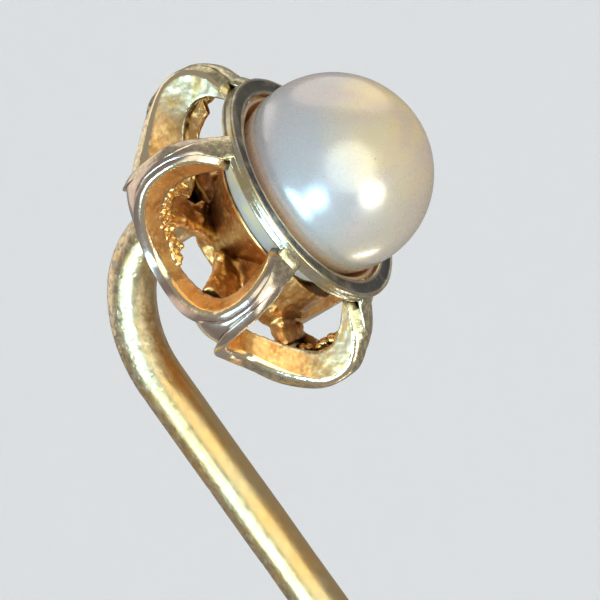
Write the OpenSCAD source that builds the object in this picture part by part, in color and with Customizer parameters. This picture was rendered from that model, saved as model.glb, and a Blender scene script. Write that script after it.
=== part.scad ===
// Hat pin with a pearl in a ringed cup, an openwork gallery of ribbon loops and a gooseneck stem.
// The stem stands on Z with its point down. The pearl faces -Y. Millimetres.
// The head is drawn in its own frame: z out through the pearl, y up, rim plane at z = 0.

/* [Pearl] */
// Diameter of the pearl
pearl_d = 5.0; // [4.6:0.1:5.0]
// How far the pearl's centre stands in front of the rim plane
pearl_lift = 0.63; // [0.6:0.01:0.7]
// Diameter of the peg in the pearl
peg_d = 0.7; // [0.5:0.05:0.9]
// How far the peg reaches into the pearl
peg_reach = 2.4; // [1.5:0.1:3.5]

/* [Setting] */
// Outer diameter of the flat ring round the cup
ring_d = 6.2; // [5.8:0.1:6.6]
// Depth of the ring along the head's axis
ring_h = 0.35; // [0.25:0.05:0.45]
// Radius of the cup's dished inner face
cup_r = 2.6; // [2.58:0.01:2.64]
// Sheet thickness of the cup
cup_t = 0.1; // [0.08:0.01:0.14]
// Depth below the rim plane at which the cement bed stops
cement_level = 0.9; // [0.6:0.1:1.4]

/* [Gallery] */
// Widest radius of the gallery
gallery_r = 4.25; // [4.0:0.05:4.5]
// Radius of the loops where they meet the ring
gallery_front_r = 3.5; // [3.3:0.05:3.7]
// Depth of the gallery behind the rim plane
gallery_depth = 3.6; // [3.4:0.05:3.8]
// Thickness of a ribbon
ribbon_t = 0.3; // [0.2:0.02:0.36]
// Inner edge of a ribbon near the ring, as a share of its outer radius
front_share = 0.82; // [0.76:0.01:0.86]
// Inner edge of a ribbon at its back, as a share of its outer radius
back_share = 0.76; // [0.72:0.01:0.78]
// Squareness of a loop, 2 for round
loop_square = 2.4; // [2:0.1:3]
// Lean of the loops towards the point, as a shift for each millimetre of depth
gallery_lean = 0.06; // [0:0.02:0.14]
// Turn of the ring of loops about the head's axis
loop_turn = -6; // [-30:1:30]
// Radius of the boss in the middle of the gallery
core_r = 1.0; // [0.8:0.05:1.2]
// Depth of the boss behind the rim plane
core_depth = 3.1; // [2.8:0.05:3.3]
// Width of the arms that run from the boss to the seams between the loops
arm_w = 0.9; // [0.6:0.05:1.0]
// Thickness of the arms
arm_t = 0.4; // [0.3:0.05:0.5]

/* [Stem] */
// Diameter of the wire
wire_d = 1.24; // [1.0:0.02:1.4]
// Overall length from the top of the gallery to the point
overall_l = 75; // [60:1:100]
// Length of the tapered point
taper_l = 8; // [5:0.5:12]
// Height of the wire's end above the head's axis
stub_rise = 1.2; // [0.9:0.05:1.4]
// Straight length of the wire behind the boss
stub_l = 0.85; // [0.6:0.05:1.2]
// Centreline radius of the tight bend next to the head
tight_bend_r = 2.2; // [2:0.1:2.6]
// Centreline radius of the wide bend above the shank
wide_bend_r = 3.6; // [3:0.1:5]
// Turn of the tight bend
tight_turn = 55; // [45:1:65]
// Angle by which the pearl looks below the horizontal
head_tilt = 3.5; // [0:0.5:8]

/* [Hidden] */

$fn = 96;
pearl_r = pearl_d / 2;
wire_r = wire_d / 2;
peg_r = peg_d / 2;
gold = [0.80, 0.70, 0.42];
rosy_gold = [0.82, 0.58, 0.33];
bright_gold = [0.93, 0.83, 0.48];

// the cup's sphere: its centre lies this far in front of the rim plane
cup_lift = 0.60;
cup_out_r = cup_r + cup_t;
cup_bottom = cup_out_r - cup_lift;
mouth_r = sqrt(cup_out_r * cup_out_r - cup_lift * cup_lift);

loop_count = 6;
// half of a loop's sector, less a hair's breadth between neighbours
loop_gap = 0.15;
loop_half = 180 / loop_count - loop_gap;
// how each handmade loop differs: its inner edge at the back, the slant of its back, its outward growth
share_change = [0, 0.02, -0.05, 0.07, 0.03, 0];
slant = [0.08, -0.06, 0.15, 0, -0.10, 0.10];
growth = [0, 0.01, 0, 0, 0.04, 0.01];
slant_from = 1.2;
slant_over = 1.8;
growth_over = 1.0;
stations = 40;
angle_step = 0.5;
chamfer = 0.07;
centre_depth = gallery_depth / 2 - 0.05;
widest_depth = 1.8;
// depth at which the leaning loops are centred on the head's axis
lean_depth = 1.2;
front_fall = gallery_r - gallery_front_r;
fall_power = 2.5;
narrow_depth = 0.8;
wide_depth = 3.0;
pull_depth = 0.9;
cup_gap = 0.03;
outline_mid = 1.55;
outline_half = gallery_depth - outline_mid;

wide_turn = 90 + head_tilt - tight_turn;
total_turn = tight_turn + wide_turn;
// the head's rim centre as seen from the top of the straight shank: along the wire and away from it
along = -stub_rise + tight_bend_r * (1 - cos(tight_turn))
    + wide_bend_r * (cos(tight_turn) - cos(total_turn));
away = core_depth + stub_l + tight_bend_r * sin(tight_turn)
    + wide_bend_r * (sin(total_turn) - sin(tight_turn));
head_y = -(along * sin(head_tilt) + away * cos(head_tilt));
head_z = along * cos(head_tilt) - away * sin(head_tilt);
head_top = head_z + gallery_r * cos(head_tilt) + widest_depth * sin(head_tilt);
shank_l = overall_l - head_top - taper_l;
point_r = 0.04;
// the swell where one stretch of the wire's bend meets the next
joint_swell = 0.008;

arm_depth = 2.6;
arm_start = 0.6;
arm_l = 2.3;
boss_top = 1.2;
// the boss is fuller on the side towards the point
lobe_r = 1.3;
lobe_drop = 1.2;
lobe_depth = 2.8;
// the collar that widens from the boss to the cup
collar_r = 2.05;
collar_low_r = 0.9;
collar_depth = 2.3;
pad_width = 0.28;
pad_rise = 0.25;
peg_below = 0.3;

bead_fn = 24;
rim_bead_r = 0.2;
rim_bead_drop = 0.16;
rim_bead_inset = 0.1;
seam_bead_r = 0.14;
seam_bead_inset = 0.02;
seam_bead_depths = [1.35, 1.75, 2.15, 2.55];
// the filling in the notch that two loops leave at their back
notch_bead_r = 0.32;
notch_bead_depth = 2.95;
notch_bead_inset = 0.35;

// radius of the gallery's outer surface at a depth behind the rim plane
function bulge(depth) = gallery_r
    - front_fall * pow(abs(depth - widest_depth) / (widest_depth - ring_h), fall_power);

// a rise from 0 to 1 over a stretch of depth
function ramp(depth, from, over) = min(1, max(0, (depth - from) / over));

// inner edge of loop i's ribbon as a share of its outer radius: the ribbon's width changes towards the back
function share(depth, i) = front_share
    + (back_share + share_change[i] - front_share) * ramp(depth, narrow_depth, wide_depth - narrow_depth);
function inner_r(depth, i) = share(depth, i) * bulge(depth);

function signed_pow(v, p) = sign(v) * pow(abs(v), p);

// a loop's outline: [share of the half sector, depth] at an angle from the middle of its back
end_cos = -pow((outline_mid - ring_h) / outline_half, loop_square / 2);
end_angle = acos(end_cos);
function outline(a) = [signed_pow(sin(a), 2 / loop_square),
    outline_mid + outline_half * signed_pow(cos(a), 2 / loop_square)];
function station_angle(i) = -end_angle + 2 * end_angle * i / stations;

// unit normal pointing into the loop's opening, in [arc length, depth] at the station's radius
function flat(a) = let (p = outline(a)) [p[0] * loop_half * PI / 180 * bulge(p[1]), p[1]];
function inward(a) = let (
        t = flat(min(a + angle_step, end_angle)) - flat(max(a - angle_step, -end_angle))
    ) [-t[1], t[0]] / norm(t) * -1;

// pull of a ribbon towards the gallery's centre: none at the ring, full past its first third
function pull(depth) = ramp(depth, ring_h, pull_depth);
function cup_clear(depth) = let (h = depth + cup_lift)
    h < cup_out_r ? sqrt(cup_out_r * cup_out_r - h * h) + cup_gap : 0;

// turns a point of the gallery about the head's axis and lets it lean
function seat(p, turn) = [
    p[0] * cos(turn) - p[1] * sin(turn),
    p[0] * sin(turn) + p[1] * cos(turn) + gallery_lean * (p[2] + lean_depth),
    p[2]
];
function seam_turn(i) = loop_turn + 180 / loop_count + 360 / loop_count * i;

// a point of loop i: station angle, inset from the outline, share of the way to the inner edge
function ribbon_point(a, inset, inner, i) = let (
        p = outline(a),
        n = inward(a),
        r_out = bulge(p[1]),
        d_in = p[1] + (centre_depth - p[1]) * (1 - share(p[1], i)) * pull(p[1]),
        r_in = max(inner_r(p[1], i), cup_clear(d_in)),
        r = r_out + (r_in - r_out) * inner,
        slanted = slant[i] * p[0] * ramp(p[1], slant_from, slant_over),
        d = p[1] + (d_in - p[1]) * inner + n[1] * inset + slanted,
        turn = p[0] * loop_half + n[0] * inset / r * 180 / PI,
        grown_r = r * (1 + growth[i] * ramp(p[1], ring_h, growth_over))
    ) [grown_r * cos(turn), grown_r * sin(turn), -max(d, ring_h)];

// the section of loop i's ribbon: eight corners, with both edges chamfered
function ribbon_section(a, i) = let (
        depth = outline(a)[1],
        width = bulge(depth) - inner_r(depth, i),
        c = chamfer / width,
        corners = [
            [chamfer, 0], [ribbon_t - chamfer, 0], [ribbon_t, c], [ribbon_t, 1 - c],
            [ribbon_t - chamfer, 1], [chamfer, 1], [0, 1 - c], [0, c]
        ]
    ) [for (corner = corners) ribbon_point(a, corner[0], corner[1], i)];

// a closed skin over a row of eight-cornered sections
module skin(sections) {
    rows = len(sections);
    points = [for (s = sections) for (p = s) p];
    sides = [for (i = [0:rows - 2]) for (k = [0:7]) let (m = (k + 1) % 8)
        each [[8 * i + k, 8 * i + m, 8 * i + 8 + m], [8 * i + k, 8 * i + 8 + m, 8 * i + 8 + k]]];
    front = [for (k = [1:6]) [0, k + 1, k]];
    back = [for (k = [1:6]) [8 * rows - 8, 8 * rows - 8 + k, 8 * rows - 7 + k]];
    polyhedron(points = points, faces = concat(sides, front, back), convexity = 6);
}

// moves the head's frame onto the end of the wire
module at_head() {
    translate([0, head_y, head_z]) rotate([90 + head_tilt, 0, 0]) children();
}

module cup_sphere(r) {
    translate([0, 0, cup_lift]) sphere(r = r);
}

module peg_shape() {
    translate([0, 0, -cup_bottom - peg_below])
        cylinder(r = peg_r, h = cup_bottom + peg_below + peg_reach - pearl_r + pearl_lift);
}

module wire_end(r, from_depth, to_depth) {
    translate([0, stub_rise, -to_depth]) cylinder(r = r, h = to_depth - from_depth);
}

module boss_shape() {
    translate([0, 0, -core_depth]) cylinder(r = core_r, h = core_depth - boss_top);
    translate([0, -lobe_drop, -lobe_depth]) cylinder(r = lobe_r, h = lobe_depth - boss_top);
    translate([0, 0, -collar_depth])
        cylinder(r1 = collar_low_r, r2 = collar_r, h = collar_depth - boss_top);
}

// one arm lies under each seam between two loops
module arms() {
    for (i = [0:loop_count - 1])
        translate(seat([0, 0, -arm_depth], 0)) rotate([0, 0, seam_turn(i)])
            translate([arm_start, -arm_w / 2, -arm_t / 2]) cube([arm_l, arm_w, arm_t]);
}

module pearl() {
    color("ivory") at_head() difference() {
        translate([0, 0, pearl_lift]) sphere(r = pearl_r);
        peg_shape();
    }
}

module pearl_peg() {
    color(gold) at_head() peg_shape();
}

module pearl_cement() {
    color("wheat") at_head() difference() {
        intersection() {
            cup_sphere(cup_r);
            translate([0, 0, -cup_r]) cylinder(r = cup_r, h = cup_r - cement_level);
        }
        translate([0, 0, pearl_lift]) sphere(r = pearl_r);
        peg_shape();
    }
}

module setting_cup() {
    color(gold) at_head() difference() {
        cup_sphere(cup_out_r);
        cup_sphere(cup_r);
        cylinder(r = 2 * cup_r, h = 2 * cup_out_r);
        peg_shape();
    }
}

module rim_ring() {
    color(gold) at_head() translate([0, 0, -ring_h]) difference() {
        cylinder(r = ring_d / 2, h = ring_h);
        translate([0, 0, -ring_h]) cylinder(r = mouth_r, h = 3 * ring_h);
    }
}

module gallery_loop(i) {
    turn = loop_turn + 360 / loop_count * i;
    color(rosy_gold) at_head()
        skin([for (k = [0:stations]) [for (p = ribbon_section(station_angle(k), i)) seat(p, turn)]]);
}

module gallery_core() {
    color(rosy_gold) at_head() {
        difference() {
            boss_shape();
            cup_sphere(cup_out_r);
            peg_shape();
        }
        arms();
    }
}

module rim_solder() {
    color(bright_gold) at_head()
        for (i = [0:loop_count - 1])
            translate(seat([ring_d / 2 - rim_bead_inset, 0, -ring_h - rim_bead_drop], seam_turn(i)))
                sphere(r = rim_bead_r, $fn = bead_fn);
}

module seam_bead(r, from_axis, depth, i) {
    translate(seat([from_axis, 0, -depth], seam_turn(i))) sphere(r = r, $fn = bead_fn);
}

module gallery_solder() {
    color(bright_gold) at_head()
        for (i = [0:loop_count - 1]) {
            for (depth = seam_bead_depths)
                seam_bead(seam_bead_r, inner_r(depth, i) - seam_bead_inset, depth, i);
            seam_bead(notch_bead_r, bulge(notch_bead_depth) - notch_bead_inset, notch_bead_depth, i);
        }
}

module stem_solder() {
    color(bright_gold) at_head() difference() {
        wire_end(wire_r + pad_width, arm_depth + arm_t / 2, core_depth + pad_rise);
        wire_end(wire_r, core_depth, core_depth + stub_l);
        boss_shape();
    }
}

// the wire's bend in the plane x = 0: starts upwards at the origin and turns towards -Y
module bend(r, turn) {
    translate([0, -r, 0]) rotate([90, 0, 90])
        rotate_extrude(angle = turn) translate([r, 0]) circle(r = wire_r);
}

module bend_joint() {
    sphere(r = wire_r + joint_swell);
}

module after_bend(r, turn) {
    translate([0, -r, 0]) rotate([turn, 0, 0]) translate([0, r, 0]) children();
}

module pin_stem() {
    color(gold) {
        translate([0, 0, -shank_l]) cylinder(r = wire_r, h = shank_l);
        translate([0, 0, -shank_l - taper_l]) cylinder(r1 = point_r, r2 = wire_r, h = taper_l);
        bend(wide_bend_r, wide_turn);
        after_bend(wide_bend_r, wide_turn) {
            bend_joint();
            bend(tight_bend_r, tight_turn);
            after_bend(tight_bend_r, tight_turn) {
                bend_joint();
                cylinder(r = wire_r, h = stub_l);
            }
        }
    }
}

pearl();
pearl_peg();
pearl_cement();
setting_cup();
rim_ring();
gallery_loop(0);  // gallery_loop_1
gallery_loop(1);  // gallery_loop_2
gallery_loop(2);  // gallery_loop_3
gallery_loop(3);  // gallery_loop_4
gallery_loop(4);  // gallery_loop_5
gallery_loop(5);  // gallery_loop_6
gallery_core();
rim_solder();
gallery_solder();
stem_solder();
pin_stem();
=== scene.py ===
import math

import bmesh
import bpy
import numpy as np
from mathutils import Matrix, Vector, noise


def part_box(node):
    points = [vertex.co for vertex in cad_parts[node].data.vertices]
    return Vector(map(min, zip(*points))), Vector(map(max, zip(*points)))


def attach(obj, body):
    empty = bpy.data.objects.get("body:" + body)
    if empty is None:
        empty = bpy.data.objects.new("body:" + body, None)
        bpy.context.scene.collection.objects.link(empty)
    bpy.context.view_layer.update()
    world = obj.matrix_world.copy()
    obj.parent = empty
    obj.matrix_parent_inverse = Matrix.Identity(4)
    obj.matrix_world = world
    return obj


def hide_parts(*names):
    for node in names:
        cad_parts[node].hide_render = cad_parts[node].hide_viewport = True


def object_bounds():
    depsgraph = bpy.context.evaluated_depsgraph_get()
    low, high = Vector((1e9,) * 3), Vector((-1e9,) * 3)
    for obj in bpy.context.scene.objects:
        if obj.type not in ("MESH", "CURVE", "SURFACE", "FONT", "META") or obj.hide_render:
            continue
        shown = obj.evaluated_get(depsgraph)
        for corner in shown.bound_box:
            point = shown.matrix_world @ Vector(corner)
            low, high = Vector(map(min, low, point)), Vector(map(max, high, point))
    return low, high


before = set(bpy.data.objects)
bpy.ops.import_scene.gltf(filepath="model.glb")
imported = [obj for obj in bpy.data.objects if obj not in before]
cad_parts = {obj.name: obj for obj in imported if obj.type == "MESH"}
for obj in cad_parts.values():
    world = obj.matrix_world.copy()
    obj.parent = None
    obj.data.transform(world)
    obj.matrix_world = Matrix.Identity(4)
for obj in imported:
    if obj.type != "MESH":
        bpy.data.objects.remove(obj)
cad_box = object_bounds()

# Looks for a gold hat pin: a large pearl in a ringed cup, an openwork gallery of ribbon loops and a
# gooseneck stem. Shapes are worked out in millimetres. The head's pieces use the head's own frame: z out
# through the pearl, y up, rim plane at z = 0. They turn into metres in the row frame when a mesh is made.

MM = 0.001
RNG = np.random.default_rng(7)

# ---------------------------------------------------------------- driving dimensions
# Those of the CAD source, and finer ones that only the looks have. The arms are 0.05 longer than there.
HEAD_TILT = math.radians(3.5)
PEARL_LIFT = 0.63
RING_H = 0.35
CUP_R, CUP_T, CUP_LIFT, CUP_SUNK = 2.6, 0.1, 0.60, 0.12
CUP_STEPS, RING_STEPS = 160, 240
# the lips of the ring's face: distance from its outer or inner edge, and how far the face is sunk there
RING_OUTER_LIP = ((0.07, 0.002), (0.09, 0.014), (0.12, 0.026), (0.24, 0.030))
RING_INNER_LIP = ((0.11, 0.026), (0.08, 0.012), (0.05, 0.008))
GALLERY_R, GALLERY_FRONT_R, GALLERY_DEPTH = 4.25, 3.5, 3.6
WIDEST_DEPTH, FALL_POWER = 1.8, 2.5
FRONT_SHARE, BACK_SHARE, NARROW_DEPTH, WIDE_DEPTH = 0.82, 0.76, 0.8, 3.0
SHARE_CHANGE = [0, 0.02, -0.05, 0.07, 0.03, 0]
SLANT = [0.08, -0.06, 0.15, 0, -0.10, 0.10]
GROWTH = [0, 0.01, 0, 0, 0.04, 0.01]
RIBBON_T, LOOP_SQUARE, LOOP_TURN, LOOP_COUNT, LOOP_GAP = 0.3, 2.4, -6.0, 6, 0.15
LEAN, LEAN_DEPTH = 0.06, 1.2
OUTLINE_MID = 1.55
CORE_R, CORE_DEPTH, BOSS_TOP = 1.0, 3.1, 1.2
LOBE_R, LOBE_DROP, LOBE_DEPTH = 1.3, 1.2, 2.8
COLLAR_T = 0.12
COLLAR_PROFILE = [
    (2.12, 1.13), (1.97, 1.30), (1.76, 1.56), (1.52, 1.86), (1.30, 2.12), (1.14, 2.36), (1.05, 2.7)]
# the fillings between the loops: growth past the loops' edges, crown and thickness at the ring; how deep
# each runs and its end's hollow; the depth and half angle of its root at the ring; and how pale each is
WEB_GROWTH, WEB_CROWN, WEB_T = 0.03, 0.005, 0.3
NOTCH_DEPTHS, NOTCH_HOLLOW = [2.95, 2.95, 3.38, 3.05, 2.95, 2.95], 0.1
ROOT_DEPTH, ROOT_HALF = 0.12, 0.075
FILLING_PALE = [0.3, 0.9, 0.1, 0.0, 0.35, 0.3]
FRONT_ROUND, FRONT_ROUND_OVER = 0.22, 0.35
# the loop whose inner edge has a strip of granules, the one whose edge is lined, and between which
# outline angles the strips run
GRAIN_LOOP, GRAIN_START, GRAIN_END = 3, -1.55, 0.0
LINED_LOOP, LINING_START, LINING_END = 2, -1.7, 0.6
# the wear of each handmade loop, with painted light: paleness at its two ends, which on the loop's inner
# faces is also a painted highlight, and beading of its inner edge
LOOP_WEAR_AND_LIGHT = [
    (0.4, 0.2, 0.05), (0.5, 0.7, 0.05), (1.0, 0.35, 0.02),
    (0.0, 0.0, 0.03), (0.0, 1.0, 0.02), (0.6, 0.4, 0.05)]
ARM_DEPTH, ARM_START, ARM_L, ARM_T = 2.6, 0.6, 2.35, 0.4
ARM_WIDTHS = (1.0, 0.85, 0.95, 1.3)
STUB_RISE, STUB_L = 1.2, 0.85
TIGHT_R, TIGHT_TURN, WIDE_R = 2.2, math.radians(55), 3.6
TAPER_L, POINT_R, FINE_L = 8.0, 0.04, 9

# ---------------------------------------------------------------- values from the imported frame
pearl_low, pearl_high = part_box("pearl")
ring_low, ring_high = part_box("rim_ring")
stem_low, stem_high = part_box("pin_stem")
pearl_r = (pearl_high.x - pearl_low.x) / 2 / MM
ring_r = (ring_high.x - ring_low.x) / 2 / MM
wire_r = (stem_high.x - stem_low.x) / 2 / MM
shank_l = -stem_low.z / MM - TAPER_L

forward = Vector((0, -math.cos(HEAD_TILT), -math.sin(HEAD_TILT)))
rim_centre = (pearl_low + pearl_high) / 2 - forward * PEARL_LIFT * MM
ROW = Matrix.Scale(MM, 4)
HEAD = Matrix.Translation(rim_centre) @ Matrix.Rotation(math.pi / 2 + HEAD_TILT, 4, "X") @ ROW


# ---------------------------------------------------------------- mesh tools
def skin(sections, closed=False):
    """Points and faces of a tube over a row of sections with the same number of points."""
    rows, ring = sections.shape[:2]
    faces = []
    for i in range(rows if closed else rows - 1):
        a, b = i * ring, (i + 1) % rows * ring
        for k in range(ring):
            m = (k + 1) % ring
            faces.append((a + k, a + m, b + m, b + k))
    if not closed:
        faces.append(tuple(reversed(range(ring))))
        faces.append(tuple(range((rows - 1) * ring, rows * ring)))
    return sections.reshape(-1, 3), faces


def spin(profile, steps):
    """A closed profile of (radius, height) turned about the z axis."""
    turns = np.linspace(0, 2 * math.pi, steps, endpoint=False)
    r, z = np.array(profile).T
    sections = np.stack([np.stack([r * math.cos(t), r * math.sin(t), z], axis=1) for t in turns])
    return skin(sections, closed=True)


def ball(centre, radius, detail=3):
    bm = bmesh.new()
    bmesh.ops.create_icosphere(bm, subdivisions=detail, radius=radius, matrix=Matrix.Translation(centre))
    return from_bmesh(bm)


def rod(start, end, r1, r2):
    """A blunt cone between two points."""
    start, end = Vector(start), Vector(end)
    along = end - start
    place = Matrix.Translation((start + end) / 2) @ along.to_track_quat("Z", "Y").to_matrix().to_4x4()
    bm = bmesh.new()
    bmesh.ops.create_cone(
        bm, cap_ends=True, segments=32, radius1=r1, radius2=r2, depth=along.length, matrix=place)
    return from_bmesh(bm)


def from_bmesh(bm):
    points = np.array([v.co for v in bm.verts])
    bm.verts.index_update()
    faces = [tuple(v.index for v in f.verts) for f in bm.faces]
    bm.free()
    return points, faces


def joined(*shapes):
    """The shapes as one, each with its own skin."""
    points, faces, start = [], [], 0
    for p, f in shapes:
        points.append(p)
        faces.extend(tuple(i + start for i in face) for face in f)
        start += len(p)
    return np.concatenate(points), faces


def fused(shapes, voxel, smooth=2):
    """One skin over shapes that overlap, on a grid of that size."""
    points, faces = joined(*shapes)
    mesh = bpy.data.meshes.new("fusing")
    mesh.from_pydata(points, [], faces)
    obj = bpy.data.objects.new("fusing", mesh)
    bpy.context.scene.collection.objects.link(obj)
    remesh = obj.modifiers.new("grid", "REMESH")
    remesh.mode, remesh.voxel_size = "VOXEL", voxel
    relax = obj.modifiers.new("relax", "SMOOTH")
    relax.factor, relax.iterations = 0.5, smooth
    done = obj.evaluated_get(bpy.context.evaluated_depsgraph_get()).to_mesh()
    result = np.array([v.co for v in done.vertices]), [tuple(p.vertices) for p in done.polygons]
    bpy.data.objects.remove(obj)
    bpy.data.meshes.remove(mesh)
    return result


def normals_of(points, faces):
    mesh = bpy.data.meshes.new("normals")
    mesh.from_pydata(points, [], faces)
    mesh.update()
    flat = np.zeros(len(points) * 3, np.float32)
    mesh.vertices.foreach_get("normal", flat)
    bpy.data.meshes.remove(mesh)
    return flat.reshape(-1, 3).astype(float)


def waves(points, size, seed, octaves=2):
    """Smooth noise of about -1 to 1 at each point, with features of that size."""
    shift = Vector((seed * 17.3, seed * 5.1, seed * 9.7))
    return np.array([noise.fractal(Vector(p) / size + shift, 1.0, 2.0, octaves) for p in points])


def grains(points, size, seed):
    """Rounded granules: about 1 in the middle of each and 0 between them."""
    shift = Vector((seed * 3.7, seed * 11.9, seed * 7.3))
    return np.array([1 - min(1.0, noise.voronoi(Vector(p) / size + shift)[0][0]) for p in points])


def roughen(points, faces, *layers):
    """Moves each point along its normal by the sum of the layers, one number per point each."""
    return points + normals_of(points, faces) * sum(layers)[:, None]


def piece(name, shape, space, material, nodes, marks=None):
    """A mesh that stands for CAD nodes. Its marks are numbers per point that its material reads."""
    points, faces = shape
    mesh = bpy.data.meshes.new(name)
    mesh.from_pydata(points, [], faces)
    mesh.transform(space)
    for key, values in (marks or {}).items():
        mesh.attributes.new(key, "FLOAT", "POINT").data.foreach_set("value", np.asarray(values, np.float32))
    mesh.shade_smooth()
    mesh.materials.append(material)
    obj = bpy.data.objects.new(name, mesh)
    bpy.context.scene.collection.objects.link(obj)
    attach(obj, "root")
    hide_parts(*nodes)
    return obj


# ---------------------------------------------------------------- material tools
class Finish:
    """A procedural material on the row frame's coordinates, in millimetres."""

    def __init__(self, name, **sockets):
        self.material = bpy.data.materials.new(name)
        self.material.use_nodes = True
        self.tree = self.material.node_tree
        self.shader = self.tree.nodes["Principled BSDF"]
        for key, value in sockets.items():
            self.shader.inputs[key.replace("_", " ")].default_value = value
        place = self.node("ShaderNodeTexCoord").outputs["Object"]
        scaled = self.node("ShaderNodeVectorMath", operation="SCALE")
        self.link(place, scaled.inputs[0])
        scaled.inputs["Scale"].default_value = 1 / MM
        self.place = scaled.outputs[0]

    def node(self, kind, **settings):
        made = self.tree.nodes.new(kind)
        for key, value in settings.items():
            setattr(made, key, value)
        return made

    def link(self, output, socket):
        self.tree.links.new(output, socket)

    def put(self, socket, value):
        if isinstance(value, bpy.types.NodeSocket):
            self.link(value, socket)
        else:
            socket.default_value = value

    def stretched(self, scale):
        made = self.node("ShaderNodeVectorMath", operation="MULTIPLY")
        self.link(self.place, made.inputs[0])
        made.inputs[1].default_value = scale
        return made.outputs[0]

    def noise(self, size, detail=3.0, roughness=0.55, place=None):
        made = self.node("ShaderNodeTexNoise")
        self.link(place or self.place, made.inputs["Vector"])
        made.inputs["Scale"].default_value = 1 / size
        made.inputs["Detail"].default_value = detail
        made.inputs["Roughness"].default_value = roughness
        return made.outputs["Fac"]

    def cells(self, size):
        made = self.node("ShaderNodeTexVoronoi", feature="SMOOTH_F1")
        self.link(self.place, made.inputs["Vector"])
        made.inputs["Scale"].default_value = 1 / size
        return made.outputs["Distance"]

    def mark(self, name):
        return self.node("ShaderNodeAttribute", attribute_name=name).outputs["Fac"]

    def span(self, value, low, high, to_low=0.0, to_high=1.0):
        """The value, with low to high stretched smoothly to to_low to to_high."""
        made = self.node("ShaderNodeMapRange", interpolation_type="SMOOTHSTEP")
        for socket, given in zip(made.inputs, (value, low, high, to_low, to_high)):
            self.put(socket, given)
        return made.outputs[0]

    def mix(self, share, a, b):
        made = self.node("ShaderNodeMix", data_type="RGBA")
        self.put(made.inputs[0], share)
        self.put(made.inputs[6], a if isinstance(a, bpy.types.NodeSocket) else (*a, 1))
        self.put(made.inputs[7], b if isinstance(b, bpy.types.NodeSocket) else (*b, 1))
        return made.outputs[2]

    def math(self, operation, a, b=0.0):
        made = self.node("ShaderNodeMath", operation=operation)
        self.put(made.inputs[0], a)
        self.put(made.inputs[1], b)
        return made.outputs[0]

    def painted_shade_and_grime(self, tone, colour, reach, amount=1.0):
        """The tone, darkened where other surfaces within that many millimetres shut it in: painted shade in
        recesses, standing also for grime there.
        """
        made = self.node("ShaderNodeAmbientOcclusion", samples=8)
        made.inputs["Distance"].default_value = reach * MM
        shut = self.span(made.outputs["AO"], 0.15, 0.75, amount, 0.0)
        return self.mix(shut, tone, colour)

    def bump(self, height, depth, normal=None):
        """A bump whose full height is that depth in millimetres."""
        made = self.node("ShaderNodeBump")
        self.link(height, made.inputs["Height"])
        made.inputs["Distance"].default_value = depth * MM
        if normal is not None:
            self.link(normal, made.inputs["Normal"])
        return made.outputs["Normal"]

    def wear(self, colour=None, roughness=None, normal=None):
        for key, value in (("Base Color", colour), ("Roughness", roughness), ("Normal", normal)):
            if value is not None:
                self.put(self.shader.inputs[key], value)
        return self.material


PALE_GOLD = (0.76, 0.62, 0.33)
WARM_GOLD = (0.95, 0.64, 0.23)
BRIGHT_GOLD = (0.92, 0.77, 0.50)
ROSY_GOLD = (0.93, 0.49, 0.17)
DEEP_GOLD = (0.62, 0.26, 0.07)
GREY_GOLD = (0.56, 0.44, 0.36)
OLIVE_GOLD = (0.50, 0.47, 0.28)
GREEN_GOLD = (0.80, 0.72, 0.52)
MAUVE_GOLD = (0.72, 0.55, 0.43)
RUBBED_GOLD = (0.86, 0.80, 0.66)
STEM_GOLD, STEM_DEEP_GOLD = (0.70, 0.52, 0.26), (0.80, 0.50, 0.19)
CUP_GREY, CUP_YELLOW, CUP_INSIDE = (0.62, 0.62, 0.58), (0.74, 0.68, 0.45), (0.75, 0.42, 0.18)
# a near-black grey for the ring's sunk face, the olive brown of the painted shade on the ring's sides, and
# the stem's tarnish
NEAR_BLACK_GREY, RING_PAINTED_SHADE, STEM_TARNISH = (0.10, 0.105, 0.11), (0.20, 0.18, 0.12), (0.30, 0.30, 0.25)
# the brown of the painted shade in recesses, which stands also for grime there
SHADE_AND_GRIME = (0.10, 0.045, 0.015)
NACRE, NACRE_CREAM = (0.51, 0.495, 0.48), (0.84, 0.64, 0.32)
# the painted gold reflection on the pearl's side towards the cup, and the painted shade, warmed by a
# painted gold reflection, towards its bottom
NACRE_GOLD_REFLECTION, NACRE_LOW_SHADE = (0.96, 0.82, 0.60), (0.60, 0.47, 0.29)
NACRE_ROSE, NACRE_MAUVE, NACRE_SPECK = (0.70, 0.54, 0.46), (0.58, 0.46, 0.42), (0.46, 0.40, 0.30)
CEMENT_DARK, CEMENT_LIGHT = (0.35, 0.16, 0.05), (0.55, 0.32, 0.12)


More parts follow.
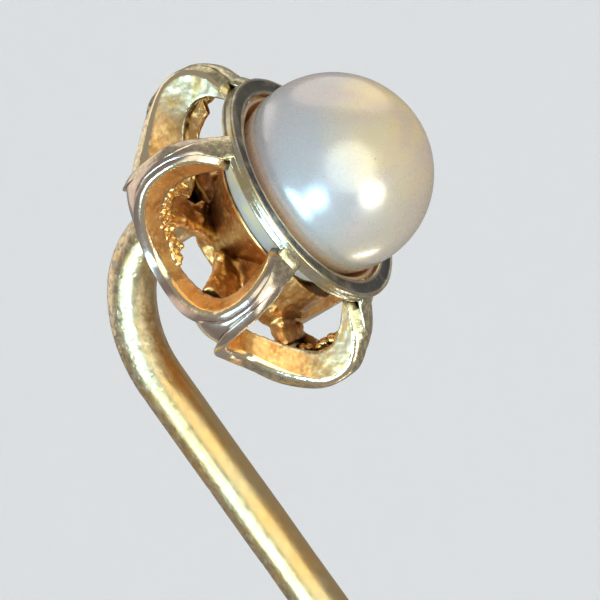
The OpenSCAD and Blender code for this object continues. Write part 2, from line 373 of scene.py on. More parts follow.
def pearl_finish():
    f = Finish("nacre", Metallic=0.42, Coat_Weight=0.7, Coat_Roughness=0.16, Coat_IOR=1.55,
               Subsurface_Weight=0.2, Subsurface_Radius=(0.0006, 0.0005, 0.0004), Subsurface_Scale=1.0)
    cream = f.span(f.math("ADD", f.mark("front"), f.math("MULTIPLY", f.noise(1.6, 1.0), 0.5)), 0.62, 1.34)
    body = f.mix(cream, NACRE, NACRE_CREAM)
    # painted reflection: the pearl's side towards the cup takes a light warm cream, as if mirroring the
    # gold round it
    gold_reflection_side = f.span(f.mark("front"), -0.38, -0.08, 1.0, 0.0)
    body = f.mix(gold_reflection_side, body, NACRE_GOLD_REFLECTION)
    # painted shade and painted gold reflection: the pearl darkens to a warm brown towards its bottom
    low = f.span(f.mark("low"), 0.30, 0.85, 0.0, 0.75)
    body = f.mix(low, body, NACRE_LOW_SHADE)
    rosy = f.span(f.noise(1.9, 1.0, place=f.stretched((1.0, 0.8, 1.2))), 0.5, 0.72)
    body = f.mix(f.math("MULTIPLY", rosy, 0.7), body, NACRE_ROSE)
    mauve = f.span(f.noise(1.4, 1.0, place=f.stretched((1.0, 1.0, 1.4))), 0.40, 0.70, 0.0, 0.5)
    body = f.mix(mauve, body, NACRE_MAUVE)
    speck = f.span(f.noise(0.16, 2.0), 0.73, 0.80)
    body = f.mix(speck, body, NACRE_SPECK)
    layers = f.noise(0.5, 4.0, 0.6)
    return f.wear(body, f.span(layers, 0.3, 0.7, 0.22, 0.32), f.bump(layers, 0.003))


def stem_finish():
    f = Finish("worn_stem_gold", Metallic=1.0)
    tone = f.mix(f.span(f.noise(1.4, 3.0), 0.35, 0.65), STEM_GOLD, STEM_DEEP_GOLD)
    pitted = f.mark("pitted")
    pits = f.math("MULTIPLY", f.span(f.cells(0.16), 0.10, 0.42, 1.0, 0.0), pitted)
    mottled = f.math("MULTIPLY", f.span(f.noise(0.34, 5.0, 0.7), 0.38, 0.54), pitted)
    tarnish = f.mix(f.span(f.noise(0.22, 4.0), 0.42, 0.58), GREEN_GOLD, STEM_TARNISH)
    tone = f.mix(mottled, tone, tarnish)
    drawn = f.noise(0.05, 2.0, place=f.stretched((1.0, 1.0, 0.05)))
    scratch = f.noise(0.3, 5.0, 0.7)
    rough = f.math("ADD", f.span(scratch, 0.35, 0.7, 0.28, 0.44), f.math("MULTIPLY", pits, 0.15))
    normal = f.bump(drawn, 0.002)
    normal = f.bump(scratch, 0.002, normal)
    normal = f.bump(f.math("SUBTRACT", 1.0, pits), 0.012, normal)
    return f.wear(tone, rough, normal)


def ring_finish():
    f = Finish("worn_and_shaded_ring_gold", Metallic=1.0)
    tone = f.mix(f.span(f.noise(1.2, 3.0), 0.35, 0.65), RUBBED_GOLD, PALE_GOLD)
    # the sunk face is darkened in patches towards a near-black grey
    darkened_face = f.math("MULTIPLY", f.mark("hollow"), f.span(f.noise(0.5, 4.0), 0.15, 0.55))
    tone = f.mix(darkened_face, tone, NEAR_BLACK_GREY)
    tone = f.mix(f.mark("inside"), tone, f.mix(f.span(f.noise(0.5, 3.0), 0.42, 0.56), ROSY_GOLD, DEEP_GOLD))
    # painted shade: the marked sides of the ring are darkened towards an olive brown
    ring_shade_amount = f.math("MULTIPLY", f.mark("painted_side_shade"), f.span(f.noise(0.35, 4.0), 0.25, 0.6, 0.4, 1.0))
    tone = f.mix(f.math("MULTIPLY", ring_shade_amount, 0.8), tone, RING_PAINTED_SHADE)
    scratch = f.noise(0.12, 5.0, 0.7)
    normal = f.bump(scratch, 0.004)
    return f.wear(tone, f.span(scratch, 0.3, 0.7, 0.14, 0.30), normal)


def cup_finish():
    f = Finish("matte_cup_gold", Metallic=0.55)
    inside = f.mark("inside")
    patch = f.span(f.noise(1.3, 2.0), 0.45, 0.6)
    outer = f.mix(patch, CUP_GREY, CUP_YELLOW)
    tone = f.mix(inside, outer, CUP_INSIDE)
    grain = f.noise(0.08, 4.0, 0.7)
    return f.wear(tone, f.span(grain, 0.3, 0.7, 0.42, 0.58), f.bump(grain, 0.006))


def ribbon_finish():
    """Granular rosy faces inside a loop, greyed faces outside, and bright rubbed edges."""
    f = Finish("ribbon_gold", Metallic=1.0)
    blotch = f.noise(0.45, 4.0, 0.6)
    inner = f.mix(f.span(blotch, 0.42, 0.72), ROSY_GOLD, DEEP_GOLD)
    inner = f.mix(f.span(f.noise(0.11, 3.0), 0.50, 0.68), inner, WARM_GOLD)
    # partly painted highlight: the palest inner faces take a bright gold, partly worn pale gold and partly
    # where light falls strongly on them
    pale_and_lit_inner = f.mix(f.span(blotch, 0.45, 0.6), BRIGHT_GOLD, WARM_GOLD)
    inner = f.mix(f.span(f.mark("pale"), 0.7, 1.0), inner, pale_and_lit_inner)
    outer = f.mix(f.span(blotch, 0.4, 0.65), GREY_GOLD, MAUVE_GOLD)
    pale_outer = f.mix(f.span(f.noise(0.14, 4.0), 0.42, 0.62), OLIVE_GOLD, BRIGHT_GOLD)
    outer = f.mix(f.mark("pale"), outer, pale_outer)
    tone = f.mix(f.mark("inside"), outer, inner)
    rubbed = f.span(f.math("ADD", f.mark("edge"), f.math("MULTIPLY", f.noise(0.3, 3.0), 0.3)), 0.75, 1.05)
    tone = f.mix(rubbed, tone, BRIGHT_GOLD)
    # painted shade, standing also for grime, where the loops shut a face in
    tone = f.painted_shade_and_grime(tone, SHADE_AND_GRIME, 1.6, 0.85)
    fine = f.noise(0.07, 4.0, 0.7)
    coarse = f.math("SUBTRACT", 1.0, f.cells(0.11))
    rough = f.mix(f.mark("inside"), (0.24, 0.24, 0.24), (0.38, 0.38, 0.38))
    rough = f.mix(rubbed, rough, (0.16, 0.16, 0.16))
    grainy = f.math("MAXIMUM", f.mark("inside"), f.mark("pale"))
    height = f.math("MULTIPLY", coarse, f.math("ADD", f.math("MULTIPLY", grainy, 0.85), 0.15))
    normal = f.bump(height, 0.006)
    normal = f.bump(fine, 0.003, normal)
    return f.wear(tone, rough, normal)


def core_finish():
    f = Finish("cast_core_gold", Metallic=1.0)
    blotch = f.noise(0.5, 4.0, 0.6)
    tone = f.mix(f.span(blotch, 0.35, 0.65), ROSY_GOLD, DEEP_GOLD)
    tone = f.mix(f.span(f.noise(0.16, 3.0), 0.50, 0.66), tone, WARM_GOLD)
    # painted shade, standing also for grime, in the core's recesses
    tone = f.painted_shade_and_grime(tone, SHADE_AND_GRIME, 1.6, 0.9)
    grain = f.math("SUBTRACT", 1.0, f.cells(0.17))
    normal = f.bump(grain, 0.012)
    normal = f.bump(f.noise(0.06, 4.0, 0.7), 0.005, normal)
    return f.wear(tone, f.span(blotch, 0.3, 0.7, 0.30, 0.48), normal)


def solder_finish():
    f = Finish("bright_solder", Metallic=1.0)
    blotch = f.noise(0.3, 3.0)
    tone = f.mix(f.span(blotch, 0.40, 0.60), WARM_GOLD, ROSY_GOLD)
    tone = f.mix(f.span(f.noise(0.12, 2.0), 0.62, 0.72), tone, BRIGHT_GOLD)
    # painted shade, standing also for grime, where the solder is shut in
    tone = f.painted_shade_and_grime(tone, SHADE_AND_GRIME, 1.2, 0.8)
    return f.wear(tone, f.span(blotch, 0.3, 0.7, 0.16, 0.32), f.bump(f.noise(0.09, 3.0), 0.005))


def cement_finish():
    f = Finish("old_cement", Specular_IOR_Level=0.4)
    tone = f.mix(f.span(f.noise(0.3, 4.0), 0.35, 0.65), CEMENT_DARK, CEMENT_LIGHT)
    return f.wear(tone, f.span(f.noise(0.2, 3.0), 0.3, 0.7, 0.35, 0.6), f.bump(f.noise(0.1, 3.0), 0.01))


# ---------------------------------------------------------------- pearl, cup, ring
def make_pearl(material):
    points, faces = ball((0, 0, PEARL_LIFT), pearl_r, 6)
    points = roughen(points, faces, waves(points, 2.4, 1) * 0.012, waves(points, 0.7, 2) * 0.002)
    piece("pearl_fine", (points, faces), HEAD, material, ["pearl"],
          {"front": (points[:, 2] - PEARL_LIFT) / pearl_r, "low": -points[:, 1] / pearl_r})


def make_cup(material):
    outer_r = CUP_R + CUP_T
    rim_outer = math.acos((CUP_LIFT + CUP_SUNK) / outer_r)
    rim_inner = math.acos((CUP_LIFT + CUP_SUNK) / CUP_R)
    peg_angle = 0.14
    steps = 60
    down, up = np.linspace(rim_inner, peg_angle, steps), np.linspace(peg_angle, rim_outer, steps)
    inner = [(CUP_R * math.sin(a), CUP_LIFT - CUP_R * math.cos(a)) for a in down]
    outer = [(outer_r * math.sin(a), CUP_LIFT - outer_r * math.cos(a)) for a in up]
    points, faces = spin(inner + outer, CUP_STEPS)
    inside = np.tile([1.0] * steps + [0.0] * steps, CUP_STEPS)
    points = roughen(points, faces, waves(points, 0.9, 4) * 0.008, waves(points, 0.2, 5) * 0.003)
    piece("setting_cup_fine", (points, faces), HEAD, material, ["setting_cup"], {"inside": inside})


def make_ring(material):
    """The ring has a rubbed lip at both edges of its dark sunk face, and a faint groove round its wall."""
    mouth_r = math.sqrt((CUP_R + CUP_T) ** 2 - CUP_LIFT ** 2)
    c = 0.05

    def corner(x, y, start, end):
        turns = [math.radians(a) for a in np.linspace(start, end, 5)]
        return [(x + c * math.cos(a), y + c * math.sin(a)) for a in turns]

    heights = np.linspace(-RING_H + 0.08, -0.08, 9)
    wall = [(ring_r - 0.016 * math.exp(-((z + 0.20) / 0.045) ** 2), z) for z in heights]
    profile = corner(ring_r - c, -RING_H + c, -90, 0) + wall + corner(ring_r - c, -c, 0, 90)
    lip = len(profile)
    profile += [(ring_r - inset, -sunk) for inset, sunk in RING_OUTER_LIP]
    profile += [(mouth_r + out, -sunk) for out, sunk in RING_INNER_LIP]
    inner = len(profile)
    profile += [(mouth_r + 0.02, -0.02), (mouth_r, -0.05), (mouth_r, -0.2), (mouth_r, -RING_H)]
    hollow = [1.0 if lip < i < inner - 2 else 0.0 for i in range(len(profile))]
    wall_marks = [1.0 if i > inner else 0.0 for i in range(len(profile))]
    points, faces = spin(profile, RING_STEPS)
    points = roughen(points, faces, waves(points, 0.8, 8) * 0.010, waves(points, 0.18, 9) * 0.003)
    azimuth = np.degrees(np.arctan2(points[:, 1], points[:, 0])) % 360
    # painted shade: two sides of the ring, round 105 and 250 degrees about its axis, are marked to be
    # darkened as if in shade
    painted_side_shade = np.clip(1.3 - np.abs(azimuth - 105) / 45, 0, 1)
    painted_side_shade = painted_side_shade + 0.6 * np.clip(1.3 - np.abs(azimuth - 250) / 40, 0, 1)
    hollow, inside = np.tile(hollow, RING_STEPS), np.tile(wall_marks, RING_STEPS)
    piece("rim_ring_fine", (points, faces), HEAD, material, ["rim_ring"],
          {"hollow": hollow, "inside": inside, "painted_side_shade": painted_side_shade})


# ---------------------------------------------------------------- gallery
def bulge(depth):
    fall = GALLERY_R - GALLERY_FRONT_R
    return GALLERY_R - fall * (abs(depth - WIDEST_DEPTH) / (WIDEST_DEPTH - RING_H)) ** FALL_POWER


def ramp(depth, start, over):
    return min(1.0, max(0.0, (depth - start) / over))


def front_rounding(depth):
    """How far the gallery's outer surface curves in where it meets the ring."""
    return FRONT_ROUND * (1 - ramp(depth, RING_H, FRONT_ROUND_OVER)) ** 2


def share(depth, i):
    back = BACK_SHARE + SHARE_CHANGE[i]
    return FRONT_SHARE + (back - FRONT_SHARE) * ramp(depth, NARROW_DEPTH, WIDE_DEPTH - NARROW_DEPTH)


def signed_power(v, p):
    return math.copysign(abs(v) ** p, v)


loop_half = math.radians(180 / LOOP_COUNT - LOOP_GAP)
outline_half = GALLERY_DEPTH - OUTLINE_MID
end_angle = math.acos(-(((OUTLINE_MID - RING_H) / outline_half) ** (LOOP_SQUARE / 2)))
centre_depth = GALLERY_DEPTH / 2 - 0.05


def outline(a):
    """A loop's outline: share of its half sector, and depth, at an angle from the middle of its back."""
    return (signed_power(math.sin(a), 2 / LOOP_SQUARE),
            OUTLINE_MID + outline_half * signed_power(math.cos(a), 2 / LOOP_SQUARE))


def inward(a):
    """Unit normal into the loop's opening, in arc length and depth."""
    ends = [outline(min(a + 0.01, end_angle)), outline(max(a - 0.01, -end_angle))]
    flat = [(turn * loop_half * bulge(depth), depth) for turn, depth in ends]
    x, y = flat[0][0] - flat[1][0], flat[0][1] - flat[1][1]
    size = math.hypot(x, y)
    return y / size, -x / size


def ribbon_point(a, inset, inner, i):
    """A point of loop i: outline angle, inset from the outline and share of the way to the inner edge."""
    turn, depth = outline(a)
    n = inward(a)
    r_out = bulge(depth)
    d_in = depth + (centre_depth - depth) * (1 - share(depth, i)) * ramp(depth, RING_H, 0.9)
    above_cup = CUP_R + CUP_T
    h = d_in + CUP_LIFT
    cup_clear = math.sqrt(above_cup ** 2 - h * h) + 0.03 if h < above_cup else 0.0
    r_in = max(share(depth, i) * r_out, cup_clear)
    r_out -= front_rounding(depth)
    r = r_out + (r_in - r_out) * inner
    d = depth + (d_in - depth) * inner + n[1] * inset + SLANT[i] * turn * ramp(depth, 1.2, 1.8)
    angle = turn * loop_half + n[0] * inset / r
    r *= 1 + GROWTH[i] * ramp(depth, RING_H, 1.0)
    return r * math.cos(angle), r * math.sin(angle), -max(d, RING_H - 0.02)


def seat(x, y, z, turn):
    """Turns a point of the gallery about the head's axis and lets it lean."""
    c, s = math.cos(turn), math.sin(turn)
    return x * c - y * s, x * s + y * c + LEAN * (z + LEAN_DEPTH), z


def seam_turn(i):
    return math.radians(LOOP_TURN + 180 / LOOP_COUNT + 360 / LOOP_COUNT * i)


def seam_share(depth):
    """How far a loop reaches towards its seam at that depth, as a share of its half sector."""
    return (1 - min(1.0, abs(depth - OUTLINE_MID) / outline_half) ** LOOP_SQUARE) ** (1 / LOOP_SQUARE)


def ribbon_section(width, thick):
    """Round the ribbon's section: inset, distance from the outer edge, and inside, edge and bead marks."""
    c_flat, c_out, c_in, across = 0.03, 0.12, 0.07, 12
    points = []

    def arc(x, y, c, start, inside, edge, bead):
        for k in range(4):
            a = math.radians(start + 30 * k)
            at = x + c * math.cos(a), y + c * math.sin(a)
            points.append((*at, inside * k / 3, edge * min(1, k), bead))

    arc(c_flat, c_flat, c_flat, 180, 0, 0, 0)
    arc(thick - c_out, c_out, c_out, 270, 1, 1, 0)
    for s in np.linspace(c_out, width - c_in, across)[1:-1]:
        points.append((thick, s, 1, 0, 0))
    arc(thick - c_in, width - c_in, c_in, 0, 0, 0, 1)
    arc(c_in, width - c_in, c_in, 90, 0, 0, 1)
    for s in np.linspace(width - c_in, c_flat, across)[1:-1]:
        points.append((0, s, 0, 0, 0))
    return points


def make_loop(i, material):
    pale_start, pale_end, beading = LOOP_WEAR_AND_LIGHT[i]
    turn = math.radians(LOOP_TURN + 360 / LOOP_COUNT * i)
    sections, marks, stations = [], [], 170
    for a in np.linspace(-end_angle, end_angle, stations):
        depth = outline(a)[1]
        width = bulge(depth) * (1 - share(depth, i))
        along = (a + end_angle) / (2 * end_angle)
        thick = RIBBON_T * (1 + 0.4 * (pale_start + (pale_end - pale_start) * along) ** 2)
        row = ribbon_section(width, thick)
        sections.append([seat(*ribbon_point(a, u, w / width, i), turn) for u, w, *_ in row])
        marks.extend(m for _, _, *m in row)
    points, faces = skin(np.array(sections))
    inside, edge, bead = np.array(marks).T
    pale = np.repeat(np.linspace(pale_start, pale_end, stations), len(row))
    points = roughen(
        points, faces,
        waves(points, 1.6, 20 + i) * 0.05,
        waves(points, 0.45, 30 + i, 3) * (0.005 + 0.005 * inside),
        (grains(points, 0.22, 40 + i) - 0.5) * (0.008 * inside + beading * bead + 0.012 * pale * inside),
    )
    name = f"gallery_loop_{i + 1}"
    piece(name + "_fine", (points, faces), HEAD, material, [name],
          {"inside": inside, "edge": edge, "pale": pale})


def arm_frame(i):
    """Where arm i starts on the axis, and its directions outwards and sideways."""
    a = seam_turn(i)
    out, side = Vector((math.cos(a), math.sin(a), 0)), Vector((-math.sin(a), math.cos(a), 0))
    return Vector(seat(0, 0, -ARM_DEPTH, 0)), out, side


def arm(i):
    """A flat arm with round sides, waisted in the middle and flared where it meets the seam."""
    start, out, side = arm_frame(i)
    sections = []
    for t in np.linspace(0, 1, 24):
        width = np.interp(t, np.linspace(0, 1, len(ARM_WIDTHS)), ARM_WIDTHS)
        at = start + out * (ARM_START + ARM_L * t)
        row = []
        for a in np.linspace(0, 2 * math.pi, 24, endpoint=False):
            row.append(at + side * width / 2 * signed_power(math.cos(a), 0.6)
                       + Vector((0, 0, ARM_T / 2 * signed_power(math.sin(a), 0.6))))
        sections.append(row)
    return skin(np.array(sections))


def arm_granules(i):
    start, out, side = arm_frame(i)
    shapes = []
    for s in np.linspace(1.0, 2.85, 9):
        edge = RNG.choice((-0.42, 0.42, 0.1))
        at = start + out * s + side * (edge + RNG.normal(0, 0.06)) + Vector((0, 0, RNG.uniform(0.05, 0.2)))
        shapes.append(ball(at, RNG.uniform(0.08, 0.15)))
    return shapes


def make_core(material):
    shapes = [rod((0, 0, -CORE_DEPTH), (0, 0, -BOSS_TOP), CORE_R, CORE_R + 0.1),
              rod((0, -LOBE_DROP, -LOBE_DEPTH), (0, -LOBE_DROP, -BOSS_TOP), LOBE_R, LOBE_R),
              ball((0, 0, -CORE_DEPTH + 0.7), CORE_R, 3)]
    for i in range(LOOP_COUNT):
        shapes.append(arm(i))
        shapes += arm_granules(i)
    for _ in range(34):
        a = RNG.uniform(0, 2 * math.pi)
        lobe = RNG.random() < 0.6
        r = (LOBE_R if lobe else CORE_R) + RNG.uniform(-0.06, 0.03)
        y = -LOBE_DROP if lobe else 0
        at = (r * math.cos(a), y + r * math.sin(a), -RNG.uniform(1.6, LOBE_DEPTH - 0.1))
        shapes.append(ball(at, RNG.uniform(0.08, 0.14)))
    points, faces = fused(shapes, 0.045, 3)
    points = roughen(
        points, faces, waves(points, 0.6, 50, 3) * 0.03, (grains(points, 0.2, 51) - 0.5) * 0.03)
    flare = [(r, -depth) for r, depth in COLLAR_PROFILE]
    flare += [(r - COLLAR_T, -depth - 0.02) for r, depth in reversed(COLLAR_PROFILE)]
    collar_points, collar_faces = spin(flare, 160)
    collar_points = roughen(collar_points, collar_faces, waves(collar_points, 0.5, 52, 2) * 0.015)
    shape = joined((points, faces), (collar_points, collar_faces))
    piece("gallery_core_fine", shape, HEAD, material, ["gallery_core"])


# ---------------------------------------------------------------- solder
def cluster(centre, count, spread, r_low, r_high):
    """Small balls scattered about a point."""
    shapes = []
    for _ in range(count):
        at = Vector(centre) + Vector(RNG.normal(0, spread, 3))
        shapes.append(ball(at, RNG.uniform(r_low, r_high), 2))
    return shapes


def filling(i):
    """Solder run smooth between loops i and i + 1, from the ring's wall to the notch at their back.

    Returns its points, its faces and its paleness at each point.
    """
    following = (i + 1) % LOOP_COUNT
    around, rows = 24, 110
    across = np.linspace(-1, 1, around)
    sections, pale = [], []
    for s in np.linspace(0, 1, rows):
        end = ramp(s, 0.86, 0.14)
        outer, inner = [], []
        for t in across:
            depth = ROOT_DEPTH + s * (NOTCH_DEPTHS[i] + NOTCH_HOLLOW * t * t - ROOT_DEPTH)
            root = 1 - ramp(depth, RING_H, 0.5)
            half = (1 - seam_share(max(depth, RING_H))) * loop_half * (1 - root) + ROOT_HALF * root ** 2
            half += WEB_GROWTH * (1 - end)
            grown = 0.5 * (GROWTH[i] + GROWTH[following]) * ramp(depth, RING_H, 1.0)
            out = bulge(max(depth, RING_H)) * (1 + grown) + WEB_CROWN - front_rounding(depth)
            out += (ring_r - 0.03 - out) * (1 - ramp(depth, ROOT_DEPTH, RING_H - ROOT_DEPTH)) ** 1.5
            out -= 0.06 * abs(t) ** 3 + (0.08 + 0.22 * t * t) * end ** 2
            edge_r = 0.5 * (share(depth, i) + share(depth, following)) * bulge(max(depth, RING_H))
            deep = out - WEB_T + (edge_r + 0.06 + 0.12 * end - out + WEB_T) * ramp(depth, 0.9, 0.7)
            for r, row in ((out, outer), (deep, inner)):
                row.append(seat(r * math.cos(half * t), r * math.sin(half * t), -depth, seam_turn(i)))
            pale.append(min(1.0, FILLING_PALE[i] + 0.9 * root))
        sections.append(outer + inner[::-1])
        pale += pale[-around:][::-1]
    points, faces = skin(np.array(sections))
    return roughen(points, faces, waves(points, 0.5, 63) * 0.012), faces, pale


def lining():
    """A plain strip that widens one loop's inner edge."""
    turn = math.radians(LOOP_TURN + 360 / LOOP_COUNT * LINED_LOOP)
    sections = []
    for a in np.linspace(LINING_START, LINING_END, 60):
        corners = ((0.06, 0.9), (0.22, 0.9), (0.24, 1.2), (0.24, 1.5), (0.10, 1.5), (0.06, 1.2))
        sections.append([seat(*ribbon_point(a, *corner, LINED_LOOP), turn) for corner in corners])
    return skin(np.array(sections))


def grain_strip():
    """A strip of small granules along one loop's inner edge."""
    turn = math.radians(LOOP_TURN + 360 / LOOP_COUNT * GRAIN_LOOP)
    sections, shapes = [], []
    for t in np.linspace(0, 1, 30):
        a = GRAIN_START + (GRAIN_END - GRAIN_START) * t
        reach = 1.42 - 0.42 * max(0.0, t - 0.8) / 0.2
        corners = ((0.02, 0.9), (0.2, 0.9), (0.22, reach), (0.0, reach))
        sections.append([seat(*ribbon_point(a, *corner, GRAIN_LOOP), turn) for corner in corners])
        for inner in np.linspace(0.98, reach, 4):
            spot = RNG.uniform(0.12, 0.24), inner + RNG.normal(0, 0.05)
            shapes += cluster(seat(*ribbon_point(a, *spot, GRAIN_LOOP), turn), 1, 0.02, 0.06, 0.10)
    return [skin(np.array(sections)), *shapes]


def make_solder(material, filling_material):
    rim, seams = [], []
    for i in range(LOOP_COUNT):
        following = (i + 1) % LOOP_COUNT
        rim += cluster(seat(ring_r - 0.14, 0, -RING_H - 0.10, seam_turn(i)), 9, 0.06, 0.10, 0.17)
        for depth in np.arange(0.95, 2.9, 0.1):
            inner_r = 0.5 * (share(depth, i) + share(depth, following)) * bulge(depth)
            seams += cluster(seat(inner_r + 0.04, 0, -depth, seam_turn(i)), 2, 0.05, 0.08, 0.16)
    seams += grain_strip()
    seams.append(lining())
    wire_end = (0, STUB_RISE, -CORE_DEPTH)
    fillet = [rod(
        (0, STUB_RISE, -CORE_DEPTH - 0.25), (0, STUB_RISE, -CORE_DEPTH + 0.3), wire_r + 0.06, wire_r + 0.3)]
    for a in np.linspace(0, 2 * math.pi, 18, endpoint=False):
        at = Vector(wire_end) + Vector((math.cos(a), math.sin(a), 0)) * (wire_r + 0.08)
        fillet += cluster(at, 1, 0.04, 0.14, 0.22)
    fillings = [filling(i) for i in range(LOOP_COUNT)]
    pale = np.concatenate([f[2] for f in fillings])
    plain = np.zeros(len(pale))
    piece("seam_filling_fine", joined(*[f[:2] for f in fillings]), HEAD, filling_material,
          ["gallery_solder"], {"inside": plain, "edge": plain, "pale": pale})
    for name, shapes in (("rim_solder", rim), ("gallery_solder", seams), ("stem_solder", fillet)):
        points, faces = fused(shapes, 0.035, 2)
        points = roughen(points, faces, waves(points, 0.22, 60, 2) * 0.014)
        piece(name + "_fine", (points, faces), HEAD, material, [name])


# ---------------------------------------------------------------- stem
def stem_path():
    """Centreline points and tangents from the point up to the core, with the radius at each."""
    rows = []
    for z in np.linspace(-shank_l - TAPER_L, -shank_l, 60, endpoint=False):
        r = POINT_R + (wire_r - POINT_R) * (z + shank_l + TAPER_L) / TAPER_L
        rows.append(((0, 0, z), (0, 0, 1), r))
    for low, high, steps in ((-shank_l, -FINE_L, 130), (-FINE_L, 0, 180)):
        for z in np.linspace(low, high, steps, endpoint=False):
            rows.append(((0, 0, z), (0, 0, 1), wire_r))
    start, heading = np.array([0.0, 0.0, 0.0]), 0.0
    wide_turn = math.pi / 2 + HEAD_TILT - TIGHT_TURN
    for radius, turn, steps in ((WIDE_R, wide_turn, 60), (TIGHT_R, TIGHT_TURN, 60)):
        side = np.array([0, -math.cos(heading), -math.sin(heading)])
        centre = start + side * radius
        for t in np.linspace(0, turn, steps, endpoint=False):
            c, s = math.cos(heading + t), math.sin(heading + t)
            rows.append((centre + radius * np.array([0, c, s]), (0, -s, c), wire_r))
        heading += turn
        start = centre + radius * np.array([0, math.cos(heading), math.sin(heading)])
    ahead = np.array([0, -math.sin(heading), math.cos(heading)])
    for s in np.linspace(0, STUB_L + 0.1, 20):
        rows.append((start + ahead * s, ahead, wire_r))
    return rows


def make_stem(material):
    around, sections, pitted = 72, [], []
    for at, along, r in stem_path():
        at, along = np.array(at, float), np.array(along, float)
        side = np.array([1.0, 0, 0])
        out = np.cross(along, side)
        for k in range(around):
            a = 2 * math.pi * k / around
            sections.append(at + r * (side * math.cos(a) + out * math.sin(a)))
            outside = max(0.0, math.sin(a))
            bend, shank = ramp(at[2], -1.5, 2.5), ramp(at[2], -22, 12)
            pitted.append(max(bend * (0.35 + 0.65 * outside), 0.8 * shank * outside))
    sections = np.array(sections).reshape(-1, around, 3)
    points, faces = skin(sections)
    pitted = np.array(pitted)
    near = np.clip((points[:, 2] + 14) / 6, 0, 1)
    pits = np.clip(waves(points, 0.16, 71, 2) - 0.25, 0, 1)
    points = roughen(points, faces, waves(points, 1.6, 70) * 0.010 * near,
                     waves(points, 0.4, 72, 2) * 0.002 * near, -pits * 0.035 * pitted)
    piece("pin_stem_fine", (points, faces), ROW, material, ["pin_stem"], {"pitted": pitted})


# ---------------------------------------------------------------- camera, floor and light
# the camera's turn away from the head's axis and about its own, degrees; its width of view, distance and
# aim beside the rim's middle, millimetres; and the floor's drop below the point, metres
VIEW_SWING, VIEW_ROLL = 65.16, 57.6
VIEW_WIDTH, VIEW_DISTANCE, AIM_LEFT, AIM_DOWN = 14.81, 150.0, 0.328, 2.81
SENSOR = 36
FLOOR_DROP = 0.25
WORLD_COLOUR, WORLD_POWER = (0.9, 0.95, 1.0, 1), 0.95
MIRRORED_COLOUR, MIRRORED_POWER = (1.0, 0.96, 0.95, 1), 0.31
# each lamp: direction (right, up, towards the camera), distance, width, height, watts, colour
LAMPS = {
    "key": (-0.31, -0.50, 0.81, 0.20, 0.058, 0.048, 0.25, (0.36, 0.68, 1.0)),
    "side": (-0.62, -0.56, 0.54, 0.20, 0.07, 0.13, 0.18, (0.42, 0.76, 1.0)),
    "window": (0.33, 0.12, 0.92, 0.20, 0.22, 0.22, 0.18, (0.90, 1.0, 0.90)),
    "glow": (0.68, -0.38, 0.60, 0.20, 0.11, 0.11, 0.10, (0.94, 1.0, 0.95)),
    "overhead": (0.10, 0.95, -0.35, 0.40, 0.50, 0.50, 0.40, (1.0, 0.96, 0.88)),
    "fill": (-0.80, 0.22, -0.50, 0.28, 0.32, 0.32, 0.20, (1.0, 0.94, 0.85)),
    "low": (0.35, -0.83, -0.44, 0.06, 0.02, 0.004, 0.002, (1.0, 0.97, 0.9)),
}


def row_directions():
    """The camera's right, up and towards-the-camera directions in the row frame."""
    swing, roll = math.radians(VIEW_SWING), math.radians(VIEW_ROLL)
    down = Vector((0, math.sin(HEAD_TILT), -math.cos(HEAD_TILT)))
    side = Vector((-1, 0, 0))
    right = down * math.cos(roll) + (forward * math.sin(swing) - side * math.cos(swing)) * math.sin(roll)
    up = -down * math.sin(roll) + (forward * math.sin(swing) - side * math.cos(swing)) * math.cos(roll)
    return right, up, forward * math.cos(swing) + side * math.sin(swing)


right, up, towards = row_directions()
aim = rim_centre - right * AIM_LEFT * MM - up * AIM_DOWN * MM
camera = bpy.data.objects.new("camera", bpy.data.cameras.new("camera"))
camera.data.sensor_width = SENSOR
camera.data.lens = SENSOR * VIEW_DISTANCE / VIEW_WIDTH
camera.data.clip_start, camera.data.clip_end = 0.001, 10
camera.matrix_world = Matrix((right, up, towards)).transposed().to_4x4()
camera.location = aim + towards * VIEW_DISTANCE * MM
bpy.context.scene.collection.objects.link(camera)
bpy.context.scene.camera = camera


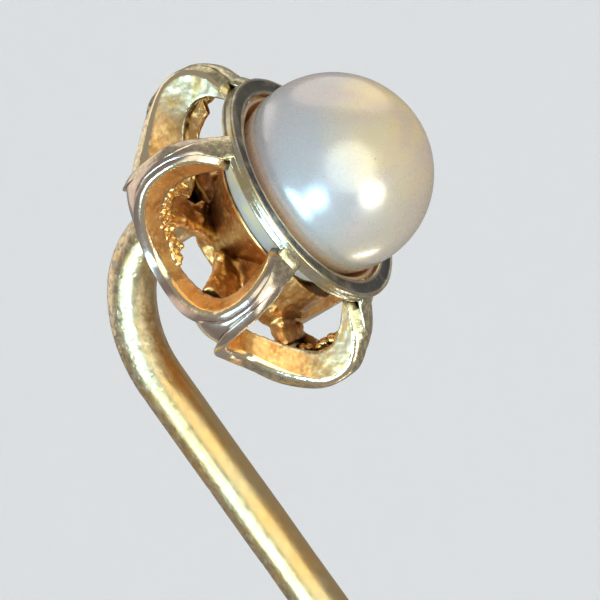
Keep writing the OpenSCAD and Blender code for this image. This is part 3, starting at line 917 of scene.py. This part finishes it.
def make_floor():
    """A pale floor, well below the pin, that curves up into a round wall far off."""
    floor_z = cad_box[0].z - FLOOR_DROP
    flat_r, sweep_r, wall_h, steps = 1.1, 0.6, 1.0, 96
    profile = [(flat_r * s, 0.0) for s in np.linspace(0.002, 1, 12)]
    for a in np.linspace(0.1, math.pi / 2, 14):
        profile.append((flat_r + sweep_r * math.sin(a), sweep_r * (1 - math.cos(a))))
    profile.append((flat_r + sweep_r, wall_h))
    turns = np.linspace(0, 2 * math.pi, steps, endpoint=False)
    rows = [[(r * math.cos(t), r * math.sin(t), floor_z + z) for t in turns] for r, z in profile]
    points, faces = skin(np.array(rows))
    mesh = bpy.data.meshes.new("floor")
    mesh.from_pydata(points, [], faces[:-1])
    mesh.shade_smooth()
    f = Finish("pale_floor")
    mesh.materials.append(f.wear((0.92, 0.91, 0.89, 1), 0.7))
    floor = bpy.data.objects.new("floor", mesh)
    bpy.context.scene.collection.objects.link(floor)
    floor.visible_glossy = False


def softbox(name, across, height, toward, distance, width, tall, power, colour):
    """An oval soft light aimed at the head, placed by its directions right, up and towards the camera."""
    light = bpy.data.lights.new(name, "AREA")
    light.shape, light.size, light.size_y = "ELLIPSE", width, tall
    light.energy, light.color = power, colour
    lamp = bpy.data.objects.new(name, light)
    way = (right * across + up * height + towards * toward).normalized()
    lamp.location = rim_centre + way * distance
    lamp.rotation_euler = way.to_track_quat("Z", "Y").to_euler()
    lamp.visible_camera = False
    bpy.context.scene.collection.objects.link(lamp)


def make_light():
    """The lamps, and a pale world that mirrors show dimmer than surfaces feel it."""
    world = bpy.data.worlds.new("studio")
    world.use_nodes = True
    bpy.context.scene.world = world
    nodes, links = world.node_tree.nodes, world.node_tree.links
    plain = nodes["Background"]
    plain.inputs["Color"].default_value = WORLD_COLOUR
    plain.inputs["Strength"].default_value = WORLD_POWER
    dim = nodes.new("ShaderNodeBackground")
    dim.inputs["Color"].default_value = MIRRORED_COLOUR
    dim.inputs["Strength"].default_value = MIRRORED_POWER
    path = nodes.new("ShaderNodeLightPath")
    both = nodes.new("ShaderNodeMixShader")
    links.new(path.outputs["Is Glossy Ray"], both.inputs[0])
    links.new(plain.outputs[0], both.inputs[1])
    links.new(dim.outputs[0], both.inputs[2])
    links.new(both.outputs[0], nodes["World Output"].inputs["Surface"])
    for name, values in LAMPS.items():
        softbox(name, *values)


ribbon_look, solder_look = ribbon_finish(), solder_finish()
make_pearl(pearl_finish())
make_cup(cup_finish())
make_ring(ring_finish())
for index in range(LOOP_COUNT):
    make_loop(index, ribbon_look)
make_core(core_finish())
make_solder(solder_look, ribbon_look)
make_stem(stem_finish())
for node, look in (("pearl_peg", solder_look), ("pearl_cement", cement_finish())):
    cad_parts[node].data.materials.clear()
    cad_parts[node].data.materials.append(look)
make_floor()
make_light()
bpy.context.scene.view_settings.view_transform = "Standard"
